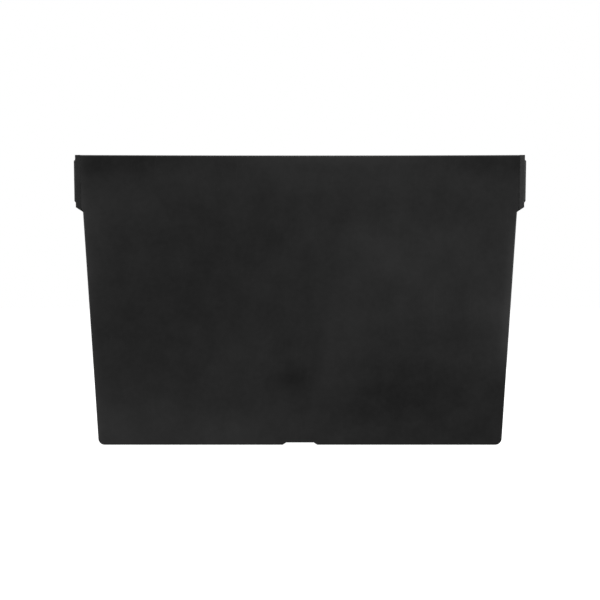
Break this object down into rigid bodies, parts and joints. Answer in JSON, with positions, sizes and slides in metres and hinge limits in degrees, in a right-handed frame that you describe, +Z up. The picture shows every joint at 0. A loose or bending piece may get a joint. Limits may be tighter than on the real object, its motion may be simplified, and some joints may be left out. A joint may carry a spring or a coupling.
{
  "type": "attached lid tote divider",
  "caption": "Flat tapered divider panel for an attached lid tote, with shouldered ears, clipped end rails that slide down wall slots, and a notched foot.",
  "frame": {"origin": "middle of the foot, at the panel's mid thickness, on the plane that the foot rests on", "axes": "+X to the right across the tote, +Y to the back through the panel's thickness, +Z up"},
  "size_m": [0.4524, 0.0038, 0.2898],
  "materials": {
    "panel_plastic": "satin black polyethylene, fine moulded grain, a little cloudy from handling",
    "rail_plastic": "smooth black moulded plastic, slightly glossier than the panel"
  },
  "bodies": {
    "divider": {"divider_panel": "panel_plastic", "end_rail_left": "rail_plastic", "end_rail_right": "rail_plastic"}
  },
  "joints": []
}
